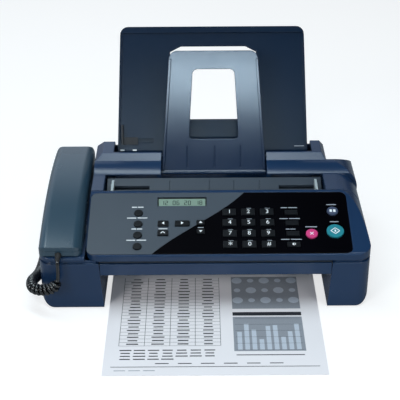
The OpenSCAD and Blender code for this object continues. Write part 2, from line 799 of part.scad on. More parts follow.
module document_bed() color(slate) difference() {
  union() {
    on_bed(path_x - bed_side, 0, -bed_t) cube([2 * bed_side, bed_l, bed_t]);
    // Hollow ramp that the documents slide down
    difference() {
      along_x(path_x - bed_side + 1, path_x + bed_side - 1) polygon([
        [ramp_y0, bed_z(ramp_y0) - 1], [ramp_y0, bed_z(ramp_y0)], [ramp_y1, ramp_z(ramp_y1)], [ramp_y1, bed_z(ramp_y1) - 1]
      ]);
      along_x(path_x - bed_side, path_x + bed_side) polygon([
        [ramp_y0 + 14, bed_z(ramp_y0 + 14)], [ramp_y1 - 2, ramp_z(ramp_y1 - 2) - 2.3], [ramp_y1 - 2, bed_z(ramp_y1 - 2)]
      ]);
      for (x = [-48, -5, 21.5, 49]) translate([path_x + x, 0, 0]) along_x(-0.5, 0.5) polygon([
        [ramp_y0 + 6, ramp_z(ramp_y0 + 6) - 0.7], [ramp_y0 + 6, far],
        [ramp_y1 - 4, far], [ramp_y1 - 4, ramp_z(ramp_y1 - 4) - 0.7]
      ]);
    }
    // Ears that hold the pick roller's shaft
    for (x = [-bed_side + 0.5, bed_side - 2.5]) on_bed(path_x + x, roller_s - 5, -eps) cube([2, 10, 8]);
    // Hinge knuckles and pins
    for (m = [0, 1]) translate([path_x, 0, 0]) mirror([m, 0, 0]) {
      box([bed_side - 8, hinge_y - 8, hinge_z - 3.4], [bed_side - 1, hinge_y, hinge_z - 0.6]);
      rod_x(bed_side - 9, bed_side - 0.5, hinge_y, hinge_z, pin_r + 1.5);
      rod_x(bed_side - 7, bed_side + hinge_pin_l, hinge_y, hinge_z, pin_r);
    }
  }
  // Bores of the pick roller's shaft
  on_bed(path_x - bed_side - 1, roller_s, roller_h)
    rotate([0, 90, 0]) cylinder(r = 2 + running, h = 2 * bed_side + 2);
  // Slots of the guides' feet
  for (m = [0, 1]) translate([path_x, 0, 0]) mirror([m, 0, 0])
    on_bed(guide_inner - guide_travel - 1, guide_slot_s, -bed_t - 1)
      cube([guide_travel + guide_t + 1.5, rack_gap, bed_t + 20]);
  // Scanning slot
  on_bed(path_x - sheet_w / 2, scan_s - 3, -bed_t - 1) cube([sheet_w, 6, bed_t + 2]);
}

module scan_bar() color(dark) {
  on_bed(path_x - sheet_w / 2 - 4, scan_s - 8, -bed_t - fit - 9) cube([sheet_w + 8, 16, 9]);
  on_bed(path_x - sheet_w / 2 + fit, scan_s - 3 + fit, -bed_t - fit - eps)
    cube([sheet_w - 2 * fit, 6 - 2 * fit, bed_t]);
}

module document_roller() color(dark) on_bed(path_x, roller_s, roller_h) rotate([0, 90, 0]) {
  translate([0, 0, 0.4 - bed_side]) cylinder(r = 2, h = 2 * bed_side - 0.8);
  for (x = [-62, -14, 34]) translate([0, 0, x]) cylinder(r = roller_r, h = 28);
}

// Document guide: a fence on the ramp and a rack below the bed, joined by a neck
module document_guide(side) color(light_grey) translate([path_x, 0, 0]) mirror([side < 0 ? 1 : 0, 0, 0]) {
  y1 = guide_y(guide_back_s);
  y0 = y1 - 26;
  rack_s = guide_slot_s + (side < 0 ? -rack_w : rack_gap);
  along_x(guide_inner, guide_inner + guide_t - 1.5) polygon([
    [y0, ramp_z(y0) + 0.3], [y1, ramp_z(y1) + 0.3], [y1 - 1, top_h - 1.3], [y0, top_h - 3]
  ]);
  along_x(guide_inner, guide_inner + guide_t) polygon([
    [y0, ramp_z(y0) + 0.3], [y1, ramp_z(y1) + 0.3], [y1, ramp_z(y1) + 1.5], [y0, ramp_z(y0) + 1.5]
  ]);
  on_bed(guide_inner + 0.3, guide_slot_s + 0.5, -bed_t - rack_t - 0.3)
    cube([guide_t - 0.6, rack_gap - 1, bed_t + rack_t + 0.8 + ramp_z(y1 - 3) - bed_z(y1 - 3)]);
  on_bed(-rack_over, rack_s, -bed_t - rack_t - 0.3) cube([guide_inner + rack_over + guide_t - 0.3, rack_w, rack_t]);
  on_bed(guide_inner + 0.3, min(rack_s, guide_slot_s + 0.5), -bed_t - rack_t - 0.3)
    cube([guide_t - 0.6, rack_w + rack_gap - 0.5, rack_t]);
}
function guide_y(s) = bed_front_y + s * cos(bed_slope);

module document_guide_left() document_guide(-1);
module document_guide_right() document_guide(1);

module document_support() color(slate) {
  difference() {
    on_support(-support_t) linear_extrude(support_t) difference() {
      polygon(taper_outline(support_w, support_top_w, -support_pin_drop, support_l, support_r));
      grip_outline();
    }
    // Grooves below the opening
    for (x = [-29, 0.8, 29.5]) on_support(-0.5) translate([x - 0.5, 2, 0]) cube([1, 24, 2]);
  }
  // Raised rim at both sides
  for (m = [0, 1]) on_support(-eps) mirror([m, 0, 0]) linear_extrude(1) polygon([
    [support_w / 2 - 2.5, 0], [support_w / 2, 0],
    [support_top_w / 2, support_l - support_r], [support_top_w / 2 - 2.5, support_l - support_r]
  ]);
  // Foot with its pins
  on_support(-support_t / 2) translate([-support_w / 2, -support_pin_drop, 0]) rotate([0, 90, 0])
    cylinder(r = support_t / 2 + 1, h = support_w);
  on_support(-support_t / 2) translate([-support_gap_w / 2 - 4, -support_pin_drop, 0]) rotate([0, 90, 0])
    cylinder(r = support_pin_r, h = support_gap_w + 8);
}

module grip_outline() {
  polygon(concat(
    arc(-grip_half_low + 4, grip_low + 4, 4, 180, 270),
    arc(grip_half_low - 4, grip_low + 4, 4, 270, 360),
    arc(grip_half_high - 6, grip_high - 6, 6, 0, 90),
    arc(-grip_half_high + 6, grip_high - 6, 6, 90, 180)
  ));
}

window_cut = 6;
guide_l0 = 8;
module window_outline() {
  polygon(concat(
    [[-window_w / 2, window_low], [window_w / 2, window_low]],
    [[window_w / 2, window_high - window_cut], [window_w / 2 - 2 * window_cut, window_high]],
    [[-window_w / 2 + 2 * window_cut, window_high], [-window_w / 2, window_high - window_cut]]
  ));
}

module paper_support() color(dark) difference() {
  union() {
    on_tray(-tray_t) linear_extrude(tray_t)
      polygon(taper_outline(tray_w, tray_top_w, -tray_sunk, tray_l, tray_r));
    // Raised rim along the top
    on_tray(-eps) linear_extrude(1.2) intersection() {
      polygon(taper_outline(tray_w, tray_top_w, -tray_sunk, tray_l, tray_r));
      translate([-tray_w / 2, tray_l - 7]) square([tray_w, 7]);
    }
    // Raised rims at both sides
    for (m = [0, 1]) on_tray(-eps) mirror([m, 0, 0]) linear_extrude(1.2) polygon([
      [tray_w / 2 - 3, -1], [tray_w / 2 - tray_w_step, -1],
      [tray_top_w / 2, tray_l - tray_r], [tray_top_w / 2 - 2.5, tray_l - tray_r]
    ]);
  }
  on_tray(-tray_t - 1) linear_extrude(tray_t + 4) translate([1, 0]) window_outline();
  // Blind T slot of the paper guide: a narrow mouth and a wider channel under it
  on_tray(-guide_lip - eps) translate([-tray_w / 2 + 5, guide_l0 + 2, 0]) cube([paper_guide_travel + 6, 4, 4]);
  on_tray(-guide_lip - guide_foot_t - 0.6) translate([-tray_w / 2 + 5, guide_l0 + 0.3, 0])
    cube([paper_guide_travel + 6, 7.4, guide_foot_t + 0.6]);
}
tray_w_step = 0.8;
guide_lip = 1;
guide_foot_t = 0.7;

module paper_guide() color(dark) {
  x0 = -tray_w / 2 + 5.5;
  on_tray(0.3) translate([x0, guide_l0, 0]) cube([18, 8, 1.2]);
  on_tray(0.3) translate([x0, guide_l0, 0]) cube([2, 22, 5]);
  on_tray(-guide_lip - 0.3 - eps) translate([x0, guide_l0 + 2.4, 0]) cube([5, 3.2, guide_lip + 1]);
  on_tray(-guide_lip - 0.3 - guide_foot_t) translate([x0, guide_l0 + 0.6, 0]) cube([5, 6.8, guide_foot_t]);
}

// Coiled cord: a tube swept along its route, thick where it is coiled
function unit(v) = v / norm(v);
function heading(i) = unit(cord_route[min(i + 1, len(cord_route) - 1)] - cord_route[max(i - 1, 0)]);
function cord_radius(i) = i < curl_from || i > curl_to ? lead_r : curl_r;
function cord_across(i) = unit(cross(heading(i), abs(heading(i)[2]) > 0.9 ? [0, 1, 0] : [0, 0, 1]));
function ring_turn(i) = i == 0 ? cord_across(0)
  : let (a = ring_turn(i - 1), h = heading(i)) unit(a - h * (a * h));
function ring(i) = let (h = heading(i), a = ring_turn(i), b = cross(h, a), r = cord_radius(i))
  [for (k = [0:cord_sides - 1]) cord_route[i]
    + r * (a * cos(360 * k / cord_sides) + b * sin(360 * k / cord_sides))];

module handset_cord() color(dark) {
  n = len(cord_route);
  polyhedron(
    points = [for (i = [0:n - 1]) each ring(i)],
    faces = concat(
      [[for (k = [0:cord_sides - 1]) k]],
      [for (i = [0:n - 2], k = [0:cord_sides - 1]) let (k2 = (k + 1) % cord_sides)
        [i * cord_sides + k, (i + 1) * cord_sides + k, (i + 1) * cord_sides + k2, i * cord_sides + k2]],
      [[for (k = [cord_sides - 1:-1:0]) (n - 1) * cord_sides + k]]
    )
  );
}

// Chassis: two side plates, a platen and a back rail
module chassis() color(steel) difference() {
  union() {
    for (x = [chassis_left_x, chassis_right_x])
      box([x, bay_back_y + wall + fit, chassis_floor], [x + chassis_t, belt_y + 14, chassis_floor + chassis_h]);
    box([chassis_left_x, exit_y + 8, sheet_exit_h - 2.5], [chassis_right_x + eps, feed_y - feed_r - 2, sheet_exit_h - 0.4]);
    box([chassis_left_x, belt_y + 8, belt_z - 16], [chassis_right_x + eps, belt_y + 8 + chassis_t, belt_z + 5]);
    // Idler pulley on its post
    translate([chassis_right_x - 14, belt_y + 9, belt_z]) rotate([90, 0, 0]) cylinder(r = 2.5, h = 12);
    translate([chassis_right_x - 14, belt_y + 2.5, belt_z]) rotate([90, 0, 0]) cylinder(r = pulley_r, h = 5);
  }
  rod_x(-far, far, exit_y, exit_z, shaft_r + running);
  rod_x(-far, far, feed_y, feed_z, shaft_r + running);
  rod_x(-far, far, rod_y, rod_z, rod_r + running);
  // Hole of the motor's shaft
  translate([motor_x, belt_y + 20, belt_z]) rotate([90, 0, 0]) cylinder(r = 3, h = 20);
}
motor_x = chassis_left_x + 16;

module carriage_rod() color(steel)
  rod_x(chassis_left_x - 2, chassis_right_x + chassis_t + 2, rod_y, rod_z, rod_r);

carriage_x = path_x + 40;
module carriage() color(dark) difference() {
  union() {
    box([carriage_x - carriage_w / 2, exit_y + 8, sheet_exit_h + 1.5], [carriage_x + carriage_w / 2, rod_y - 7, rod_z + 4]);
    box([carriage_x - carriage_w / 2, rod_y - 7 - eps, rod_z - 10], [carriage_x + carriage_w / 2, rod_y + 7, rod_z + 8]);
    // Clamp under the belt's lower run
    box([carriage_x - 8, rod_y + 7 - eps, rod_z - 10], [carriage_x + 8, belt_y + 3, belt_z - pulley_r - 1.5]);
  }
  rod_x(-far, far, rod_y, rod_z, rod_r + running);
  // Pockets of the cartridges
  for (x = [carriage_x - carriage_w / 2 + 2, carriage_x + 1])
    box([x, exit_y + 10, sheet_exit_h + 3.5], [x + carriage_w / 2 - 3, rod_y - 9, far]);
}

module ink_cartridges() color(gloss_black)
  for (x = [carriage_x - carriage_w / 2 + 2, carriage_x + 1])
    box([x + fit, exit_y + 10 + fit, sheet_exit_h + 3.5 + fit], [x + carriage_w / 2 - 3 - fit, rod_y - 9 - fit, rod_z + 7]);

// Round-ended loop in the XZ plane
module belt_loop(r) {
  translate([motor_x, belt_z]) circle(r);
  translate([chassis_right_x - 14, belt_z]) circle(r);
  translate([motor_x, belt_z - r]) square([chassis_right_x - 14 - motor_x, 2 * r]);
}

module drive_belt() color(gloss_black)
  along_y(belt_y - 2.5, belt_y + 2.5) difference() {
    belt_loop(pulley_r + 1.2);
    belt_loop(pulley_r + 0.1);
  }

module carriage_motor() color(steel) translate([motor_x, belt_y + 8 + chassis_t + fit, belt_z]) rotate([90, 0, 0]) {
  translate([0, 0, -12]) cylinder(r = motor_r, h = 12);
  cylinder(r = 2, h = 14);
  translate([0, 0, 8 + chassis_t + fit - 2.5]) cylinder(r = pulley_r, h = 5);
}

module roller(y, z, r, n) {
  rod_x(chassis_left_x - 3, chassis_right_x + chassis_t + 3, y, z, shaft_r);
  for (i = [0:n - 1]) let (x = path_x + (sheet_w - 36) * (i / (n - 1) - 0.5)) rod_x(x - 9, x + 9, y, z, r);
}

module feed_roller() color(dark) roller(feed_y, feed_z, feed_r, 5);
module exit_roller() color(dark) roller(exit_y, exit_z, exit_r, 6);

module main_board() color([0.12, 0.36, 0.2]) {
  x0 = board_x0;
  x1 = board_x1;
  z0 = board_floor + 1.6;
  box([board_x0, board_y0, board_floor], [board_x1, board_y1, z0]);
  box([x0 + 4, board_y1 - 44, z0 - eps], [x1 - 5, board_y1 - 14, z0 + 20]);
  box([x0 + 5, board_y0 + 40, z0 - eps], [x1 - 8, board_y0 + 56, z0 + 2]);
  for (y = [board_y0 + 68, board_y0 + 82]) translate([socket_x, y, z0 - eps]) cylinder(r = 5, h = 16);
  box([socket_x - socket_half, board_y1 - 14, z0 - eps], [socket_x + socket_half, back_y - wall - 0.5, 31]);
}

module display_module() color([0.55, 0.68, 0.55]) {
  on_panel(lcd_place[0], lcd_place[1], deck_z - fit - 2) translate([-lcd_w / 2 - 3, -lcd_d / 2 - 2, 0])
    cube([lcd_w + 6, lcd_d + 4, 2]);
  on_panel(lcd_place[0], lcd_place[1], deck_z - fit - eps) translate([-lcd_w / 2 + fit, -lcd_d / 2 + fit, 0])
    cube([lcd_w - 2 * fit, lcd_d - 2 * fit, deck_t + fit]);
}

module key_board() color([0.12, 0.36, 0.2])
  on_panel(0, 0, board_z - board_t) translate([lid_left_x + 20, 3, 0])
    cube([right_x - lid_left_x - 36, panel_l - 24, board_t]);

// Printed sheet: flat on the table, then up to the exit rollers, then flat
flat_end_y = front_y + 60;
rise_end_y = exit_y - 3;
sheet_mid = [for (i = [0:16]) let (k = i / 16)
  [flat_end_y + (rise_end_y - flat_end_y) * k, sheet_exit_h / 2 * (1 - cos(180 * k))]];
function path_length(i = 0) = i >= len(sheet_mid) - 1 ? 0
  : norm(sheet_mid[i + 1] - sheet_mid[i]) + path_length(i + 1);
sheet_front_y = front_y - sheet_out;
sheet_tail_y = rise_end_y + sheet_l - (flat_end_y - sheet_front_y) - path_length();

module printed_sheet() color("white") along_x(path_x - 2 - sheet_w / 2 + 0.5, path_x - 2 + sheet_w / 2 - 0.5) {
  polygon(concat(
    [[sheet_front_y, 0]], sheet_mid, [[sheet_tail_y, sheet_exit_h], [sheet_tail_y, sheet_exit_h + sheet_t]],
    [for (i = [16:-1:0]) sheet_mid[i] + [-sheet_t * 0.6 * sin(180 * i / 16), sheet_t]],
    [[sheet_front_y, sheet_t]]
  ));
}

// Keys
module key_frame(place) {
  on_panel(place[0], place[1], deck_z - fit - flange) children();
}
key_h = flange + fit + deck_t + plate_t + key_rise;

module round_key(place, d, tint) color(tint) key_frame(place) {
  cylinder(r = d / 2 + flange, h = flange);
  cylinder(r = d / 2, h = key_h);
}

module square_key(place, size, tint) color(tint) key_frame(place) {
  translate([-size[0] / 2 - flange, -size[1] / 2 - flange, 0])
    cube([size[0] + 2 * flange, size[1] + 2 * flange, flange]);
  translate([-size[0] / 2, -size[1] / 2, 0]) cube([size[0], size[1], key_h]);
}

module function_key(i) round_key([function_x, function_s + function_pitch * i], function_key_d, dark);
module menu_key(i) square_key(menu_places[i], menu_sizes[i], dark);
module number_key(i) square_key(
  [pad_x + pad_pitch_x * (i % 3), pad_s + pad_pitch_s * (3 - floor(i / 3))], [pad_key_w, pad_key_d], dark);
module side_key(i) square_key([side_x, side_s + side_pitch * i], side_size, dark);
module cancel_key() round_key(cancel_place, cancel_key_d, [0.85, 0.2, 0.42]);
module copy_key() round_key(copy_place, copy_key_d, [0.25, 0.3, 0.42]);
module start_key() round_key(start_place, start_key_d, [0.1, 0.52, 0.55]);

// The origin is under the middle of the whole footprint, from the sheet to the paper support
tray_back_y = tray_y + tray_l * sin(tray_lean) + tray_t * cos(tray_lean);
casing_y = -(sheet_front_y + tray_back_y) / 2;
translate([0, casing_y, 0]) {
  base_shell();
  rubber_feet();
  rear_housing();
  cradle();
  panel_housing();
  slate_faceplate();
  gloss_faceplate();
  front_bar();
  document_bed();
  scan_bar();
  document_roller();
  document_guide_left();
  document_guide_right();
  document_support();
  paper_support();
  paper_guide();
  handset_shell();
  handset_cover();
  hook_plunger();
  handset_cord();
  chassis();
  carriage_rod();
  carriage();
  ink_cartridges();
  drive_belt();
  carriage_motor();
  feed_roller();
  exit_roller();
  main_board();
  display_module();
  key_board();
  printed_sheet();
  for (i = [0:3]) function_key(i);
  for (i = [0:4]) menu_key(i);
  for (i = [0:11]) number_key(i);
  for (i = [0:3]) side_key(i);
  cancel_key();
  copy_key();
  start_key();
}
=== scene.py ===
import json
import math

import bpy
from mathutils import Matrix, Vector


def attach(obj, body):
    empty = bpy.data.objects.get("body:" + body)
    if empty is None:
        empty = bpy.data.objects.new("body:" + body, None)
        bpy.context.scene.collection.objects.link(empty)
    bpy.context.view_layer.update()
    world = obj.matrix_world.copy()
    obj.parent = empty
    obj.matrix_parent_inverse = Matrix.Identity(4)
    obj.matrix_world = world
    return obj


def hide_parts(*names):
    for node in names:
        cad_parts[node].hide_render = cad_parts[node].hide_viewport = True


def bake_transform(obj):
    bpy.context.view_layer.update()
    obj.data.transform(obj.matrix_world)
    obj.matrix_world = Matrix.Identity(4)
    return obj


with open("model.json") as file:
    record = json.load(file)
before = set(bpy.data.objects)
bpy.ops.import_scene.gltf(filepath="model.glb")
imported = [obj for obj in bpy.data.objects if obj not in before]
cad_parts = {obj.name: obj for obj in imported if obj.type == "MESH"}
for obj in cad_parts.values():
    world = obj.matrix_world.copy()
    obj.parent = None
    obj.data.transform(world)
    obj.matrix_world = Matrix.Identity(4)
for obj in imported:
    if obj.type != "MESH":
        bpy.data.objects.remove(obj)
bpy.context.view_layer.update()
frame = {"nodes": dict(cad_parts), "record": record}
nodes = frame["nodes"]

# Numbers for shapes are in mm, as in part.scad, and their y is counted from the casing's own zero line.
# MM and CASING_Y bring them to the frame, which is in metres.
MM = 0.001
CASING_Y = 33.74857 * MM

# ---------------------------------------------------------------- camera
# fitted to the photo: focal length in its pixels, sensor in mm, angles in degrees
PHOTO_PX = 400
FOCAL_PX = 1073.9
SENSOR = 36
DOWNWARD_TILT = 30
ROLL = -0.35
camera_data = bpy.data.cameras.new("camera")
camera_data.sensor_width = SENSOR
camera_data.lens = FOCAL_PX / PHOTO_PX * SENSOR
camera = bpy.data.objects.new("camera", camera_data)
bpy.context.scene.collection.objects.link(camera)
camera.location = (-0.0045, -0.99925 + CASING_Y, 0.6495)
camera.rotation_euler = (
    Matrix.Rotation(math.radians(90 - DOWNWARD_TILT), 3, "X")
    @ Matrix.Rotation(math.radians(ROLL), 3, "Z")
).to_euler()
bpy.context.scene.camera = camera


# ---------------------------------------------------------------- pieces
def link(obj, body, material):
    bpy.context.scene.collection.objects.link(obj)
    obj.data.materials.clear()
    obj.data.materials.append(material)
    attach(obj, body)
    return obj


def flat_piece(name, outlines, place, body, material):
    """One flat piece made of outlines [(x, y), ...], each point put into the frame by place(x, y)."""
    points, faces = [], []
    for outline in outlines:
        faces.append(tuple(range(len(points), len(points) + len(outline))))
        points += [tuple(place(x, y)) for x, y in outline]
    mesh = bpy.data.meshes.new(name)
    mesh.from_pydata(points, [], faces)
    mesh.validate()
    mesh.update()
    return link(bpy.data.objects.new(name, mesh), body, material)


def bar(x, y, w, h):
    """A rectangle around its middle."""
    left, right, low, high = x - w / 2, x + w / 2, y - h / 2, y + h / 2
    return [(left, low), (right, low), (right, high), (left, high)]


def stroke(points, width):
    """Quads along an open line."""
    out = []
    for (ax, ay), (bx, by) in zip(points, points[1:]):
        d = Vector((bx - ax, by - ay))
        n = Vector((-d.y, d.x)).normalized() * width / 2
        out.append(
            [
                (ax + n.x, ay + n.y),
                (ax - n.x, ay - n.y),
                (bx - n.x, by - n.y),
                (bx + n.x, by + n.y),
            ]
        )
    return out


def moved(outline, x, y, turn=0.0, scale=1.0):
    c, s = math.cos(turn), math.sin(turn)
    return [(x + scale * (c * a - s * b), y + scale * (s * a + c * b)) for a, b in outline]


# ---------------------------------------------------------------- shader nodes
def new_material(name):
    m = bpy.data.materials.new(name)
    m.use_nodes = True
    tree = m.node_tree
    tree.nodes.clear()
    out = tree.nodes.new("ShaderNodeOutputMaterial")
    shader = tree.nodes.new("ShaderNodeBsdfPrincipled")
    tree.links.new(shader.outputs[0], out.inputs[0])
    return m, tree, shader


def object_coord(tree):
    return tree.nodes.new("ShaderNodeTexCoord").outputs["Object"]


def noise(tree, coord, scale, detail):
    n = tree.nodes.new("ShaderNodeTexNoise")
    n.inputs["Scale"].default_value = scale
    n.inputs["Detail"].default_value = detail
    tree.links.new(coord, n.inputs["Vector"])
    return n.outputs["Fac"]


def color_ramp(tree, value, stops):
    """Colours from (position, colour) pairs in rising order."""
    n = tree.nodes.new("ShaderNodeValToRGB")
    elements = n.color_ramp.elements
    for element, (position, color) in zip((elements[0], elements[1]), (stops[0], stops[-1])):
        element.position = position
        element.color = (*color, 1)
    for position, color in stops[1:-1]:
        elements.new(position).color = (*color, 1)
    tree.links.new(value, n.inputs[0])
    return n.outputs[0]


def map_range(tree, value, low, high, to_low, to_high):
    n = tree.nodes.new("ShaderNodeMapRange")
    n.inputs["From Min"].default_value = low
    n.inputs["From Max"].default_value = high
    n.inputs["To Min"].default_value = to_low
    n.inputs["To Max"].default_value = to_high
    tree.links.new(value, n.inputs["Value"])
    return n.outputs[0]


# ---------------------------------------------------------------- materials
# scales count per metre, heights and edges are in metres
BUMP_HEIGHT = 0.0002
SMUDGE_SCALE = 60
PRINT_SCALE = 900
EVEN_ROUGHNESS = 0.6


def plastic(
    name,
    color,
    rough,
    grain=2200,
    bump=0.10,
    edge=0.0006,
    vary=0.10,
    specular=0.5,
    metallic=0.0,
    mottle=9.0,
):
    """Moulded plastic: faint mottling and smudges, a fine grain, and edges rounded by edge."""
    m, tree, shader = new_material(name)
    coord = object_coord(tree)
    darker = [c * (1 - vary) for c in color]
    lighter = [min(1, c * (1 + vary)) for c in color]
    mottling = color_ramp(tree, noise(tree, coord, mottle, 4), [(0.3, darker), (0.7, lighter)])
    tree.links.new(mottling, shader.inputs["Base Color"])
    smudges = noise(tree, coord, SMUDGE_SCALE, 5)
    tree.links.new(
        map_range(tree, smudges, 0, 1, max(0.02, rough - 0.02), rough + 0.03),
        shader.inputs["Roughness"],
    )
    shader.inputs["Specular IOR Level"].default_value = specular
    shader.inputs["Metallic"].default_value = metallic
    b = tree.nodes.new("ShaderNodeBump")
    b.inputs["Strength"].default_value = bump
    b.inputs["Distance"].default_value = BUMP_HEIGHT
    tree.links.new(noise(tree, coord, grain, 2), b.inputs["Height"])
    if edge:
        bevel = tree.nodes.new("ShaderNodeBevel")
        bevel.samples = 4
        bevel.inputs["Radius"].default_value = edge
        tree.links.new(bevel.outputs[0], b.inputs["Normal"])
    tree.links.new(b.outputs[0], shader.inputs["Normal"])
    return m


def ink(name, color):
    """A flat print, a little uneven."""
    m, tree, shader = new_material(name)
    darker = [c * 0.88 for c in color]
    lighter = [min(1, c * 1.08) for c in color]
    spots = noise(tree, object_coord(tree), PRINT_SCALE, 2)
    uneven = color_ramp(tree, spots, [(0, darker), (1, lighter)])
    tree.links.new(uneven, shader.inputs["Base Color"])
    shader.inputs["Roughness"].default_value = EVEN_ROUGHNESS
    return m


mats = {
    "casing": plastic("casing", (0.010, 0.033, 0.086), 0.24, edge=0.0016),
    "bed": plastic("bed", (0.038, 0.052, 0.072), 0.40, specular=0.4),
    "handset": plastic(
        "handset", (0.026, 0.058, 0.088), 0.26, edge=0.0012, specular=0.6, bump=0.04
    ),
    "faceplate_slate": plastic(
        "faceplate_slate", (0.055, 0.071, 0.092), 0.42, grain=3000, bump=0.06, specular=0.4
    ),
    "faceplate_gloss": plastic(
        "faceplate_gloss", (0.001, 0.001, 0.002), 0.09, bump=0.01, vary=0.3, specular=0.25
    ),
    "support": plastic("support", (0.008, 0.022, 0.058), 0.13, edge=0.0012, specular=0.8),
    "tray": plastic("tray", (0.003, 0.012, 0.032), 0.24, edge=0.0012, specular=0.2),
    "rubber": plastic("rubber", (0.012, 0.012, 0.013), 0.7, grain=900, bump=0.3),
    "cord": plastic(
        "cord", (0.004, 0.004, 0.005), 0.14, grain=500, bump=0.05, edge=0, specular=0.8
    ),
    "light_plastic": plastic("light_plastic", (0.42, 0.48, 0.50), 0.45),
    "dark_plastic": plastic("dark_plastic", (0.010, 0.011, 0.014), 0.45),
    "steel": plastic("steel", (0.45, 0.46, 0.48), 0.35, grain=700, metallic=1.0),
    "board": plastic("board", (0.015, 0.10, 0.045), 0.4, vary=0.25, mottle=120),
    "display": plastic("display", (0.22, 0.31, 0.25), 0.3, bump=0.02, specular=0.3),
    "paper": plastic(
        "paper", (0.89, 0.85, 0.87), 0.75, grain=1500, bump=0.15, edge=0, vary=0.02
    ),
    "key": plastic("key", (0.003, 0.004, 0.006), 0.34, specular=0.35),
    "key_cancel": plastic("key_cancel", (0.62, 0.045, 0.20), 0.35, edge=0.0008),
    "key_copy": plastic("key_copy", (0.045, 0.065, 0.12), 0.35, edge=0.0008),
    "key_start": plastic("key_start", (0.012, 0.22, 0.27), 0.35, edge=0.0008),
}
WHITE = ink("white_marks", (0.85, 0.88, 0.90))
SOFT_WHITE = ink("grey_marks", (0.38, 0.42, 0.48))
DARK_INK = ink("dark_ink", (0.02, 0.022, 0.03))
GREY_INK = ink("grey_ink", (0.30, 0.32, 0.36))
PALE_INK = ink("pale_ink", (0.55, 0.60, 0.68))
SEGMENT = ink("display_segments", (0.02, 0.04, 0.035))
BEZEL = plastic("display_bezel", (0.008, 0.009, 0.011), 0.3)

for part in frame["record"]["subparts"]:
    for material_slot in nodes[part["node"]].material_slots:
        material_slot.material = mats[part["material_slot"]]

# ---------------------------------------------------------------- coiled cord
# from the handset's near end down to the left and back to the jack in the left side; the middle of
# the coil, which runs from the point CURL_FROM to the point CURL_TO
ROUTE = [
    (-147, -95.3, 65), (-147, -98.5, 64.7), (-147, -101.5, 63), (-147, -103.5, 60),
    (-147, -104.2, 55), (-147.2, -104.6, 48), (-148, -105, 41), (-149.5, -105.5, 37),
    (-153, -106, 33), (-160, -106.3, 30.5), (-168, -104.5, 29.3), (-174, -99.5, 28.6),
    (-177, -91, 27), (-178, -80, 24), (-177.6, -68, 19), (-176.8, -55, 13.8),
    (-176, -40, 9.5), (-175.6, -24, 7.2), (-175.4, -8, 6.4), (-175.4, 10, 6.3), (-175.4, 28, 6.3),
    (-175.4, 44, 6.6), (-175.2, 53, 8.5), (-174.8, 59.5, 11.2), (-173.6, 64.8, 13.8),
    (-171, 68, 15.5), (-167.5, 69, 16), (-161, 69, 16),
]
CURL_FROM, CURL_TO = 6, 22
WIRE = 3.8
COIL_OUTER_R = 6.0
COIL_R = COIL_OUTER_R - WIRE / 2
PITCH = 4.1
POINTS_PER_TURN = 14
STRAIGHT_STEP = 1.0
SHORTEST_STEP = 0.6
EASE = 6.0  # the way along the route in which the coil opens and closes
BOOT_POINTS = 9
BOOT_RADII = (3.3, 3.3, 3.0, 2.7, 2.3, 2.0)


def smooth_route(points, step=0.5):
    """Catmull-Rom points about a step apart, and the distance along at each route point."""
    p = [Vector(q) for q in points]
    p = [2 * p[0] - p[1]] + p + [2 * p[-1] - p[-2]]
    out, marks, along = [], [], 0.0
    for a, b, c, d in zip(p, p[1:], p[2:], p[3:]):
        marks.append(along)
        n = max(2, int((c - b).length / step))
        for k in range(n):
            t = k / n
            q = 0.5 * (
                2 * b + (c - a) * t + (2 * a - 5 * b + 4 * c - d) * t * t
                + (3 * b - a - 3 * c + d) * t**3
            )
            if out:
                along += (q - out[-1]).length
            out.append(q)
    marks.append(along)
    out.append(p[-2])
    return out, marks


def side_pairs(line):
    """At each point a right-angled pair across the line, that doesn't twist along it."""
    side = Vector((1, 0, 0))
    pairs = []
    for i in range(len(line)):
        ahead = (line[min(i + 1, len(line) - 1)] - line[max(i - 1, 0)]).normalized()
        side = (side - ahead * side.dot(ahead)).normalized()
        pairs.append((side.copy(), ahead.cross(side)))
    return pairs


def coil_line():
    """The cord's middle: straight at both ends, and wound around the route between them."""
    line, marks = smooth_route(ROUTE)
    pairs = side_pairs(line)
    start, end = marks[CURL_FROM], marks[CURL_TO]
    distance = [0.0]
    for a, b in zip(line, line[1:]):
        distance.append(distance[-1] + (b - a).length)
    out, at, k = [], 0.0, 0
    while at <= distance[-1]:
        while k < len(distance) - 2 and distance[k + 1] < at:
            k += 1
        t = (at - distance[k]) / max(1e-9, distance[k + 1] - distance[k])
        u, v = pairs[k]
        wound = min(1.0, max(0.0, (at - start) / EASE)) * min(1.0, max(0.0, (end - at) / EASE))
        wound = wound * wound * (3 - 2 * wound)
        turn = 2 * math.pi * (at - start) / PITCH
        offset = (u * math.cos(turn) + v * math.sin(turn)) * COIL_R * wound
        out.append(line[k].lerp(line[k + 1], t) + offset)
        at += PITCH / POINTS_PER_TURN if wound > 0 else STRAIGHT_STEP
    if (line[-1] - out[-1]).length < SHORTEST_STEP:
        out.pop()
    out.append(line[-1])
    return [q * MM + Vector((0, CASING_Y, 0)) for q in out]


